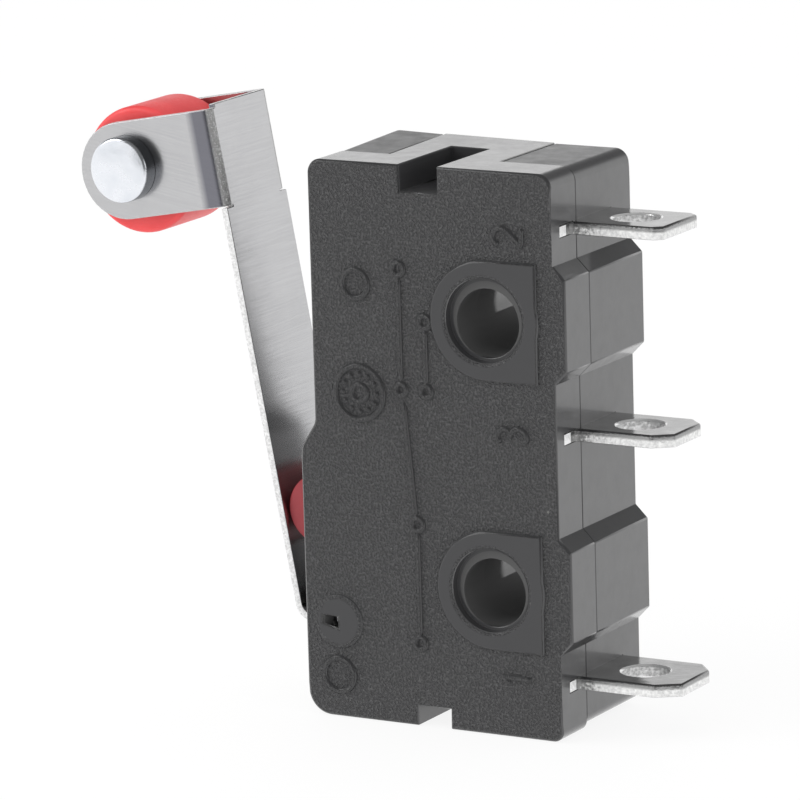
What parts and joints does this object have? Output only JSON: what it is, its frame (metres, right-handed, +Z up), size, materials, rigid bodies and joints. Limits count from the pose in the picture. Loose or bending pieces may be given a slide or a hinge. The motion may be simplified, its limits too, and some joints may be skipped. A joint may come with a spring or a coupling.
{
  "type": "roller lever snap switch",
  "caption": "Subminiature snap-action switch with a hinged roller lever, a black moulded case, solder terminals and through mounting holes.",
  "frame": {"origin": "on the lower mounting hole's axis, halfway through the depth of the case", "axes": "+X out along the terminals, +Z up the long side of the case towards the roller, +Y along the mounting holes towards the back face; the cover with the raised pads faces -Y"},
  "size_m": [0.0232, 0.0059, 0.0214],
  "materials": {
    "case_plastic": "fine spark-eroded texture on the front, smoother on the sides",
    "lever_steel": "cold-rolled stainless strip with fine lines",
    "pin_steel": "bright turned and polished head",
    "red_plastic": "moulded, satin to glossy",
    "tinned_brass": "bright tin plating",
    "arm_brass": "bare spring brass strip",
    "contact_silver": "silver alloy rivets",
    "spring_steel": "drawn wire"
  },
  "bodies": {
    "case": {"base_housing": "case_plastic", "front_cover": "case_plastic", "common_terminal": "tinned_brass", "normally_open_terminal": "tinned_brass", "normally_closed_terminal": "tinned_brass", "nc_contact": "contact_silver", "no_contact": "contact_silver"},
    "lever": {"lever": "lever_steel", "roller_pin": "pin_steel"},
    "roller": {"roller": "red_plastic"},
    "plunger": {"plunger": "red_plastic"},
    "contact_arm": {"moving_arm": "arm_brass", "moving_contact": "contact_silver", "snap_spring": "spring_steel"}
  },
  "joints": [
    {"name": "lever_hinge", "type": "hinge", "parent": "case", "child": "lever", "pos_m": [-0.0062, 0, -0.0017], "axis": [0, 1, 0], "range_deg": [0, 9.5], "stiffness_Nm_per_rad": 0.02, "springref_deg": -11.46},
    {"name": "roller_spin", "type": "hinge", "parent": "lever", "child": "roller", "pos_m": [-0.01457, 0, 0.01368], "axis": [0, 1, 0], "continuous": true},
    {"name": "plunger_slide", "type": "slide", "parent": "case", "child": "plunger", "axis": [1, 0, 0], "range_m": [0, 0.00062]},
    {"name": "arm_hinge", "type": "hinge", "parent": "case", "child": "contact_arm", "pos_m": [-0.00468, 0, -0.0032], "axis": [0, 1, 0], "range_deg": [0, 2.75]}
  ],
  "couplings": [
    {"joint": "plunger_slide", "follows": "lever_hinge", "m_per_rad": 0.00373},
    {"joint": "arm_hinge", "follows": "lever_hinge", "ratio": 0.28947}
  ]
}
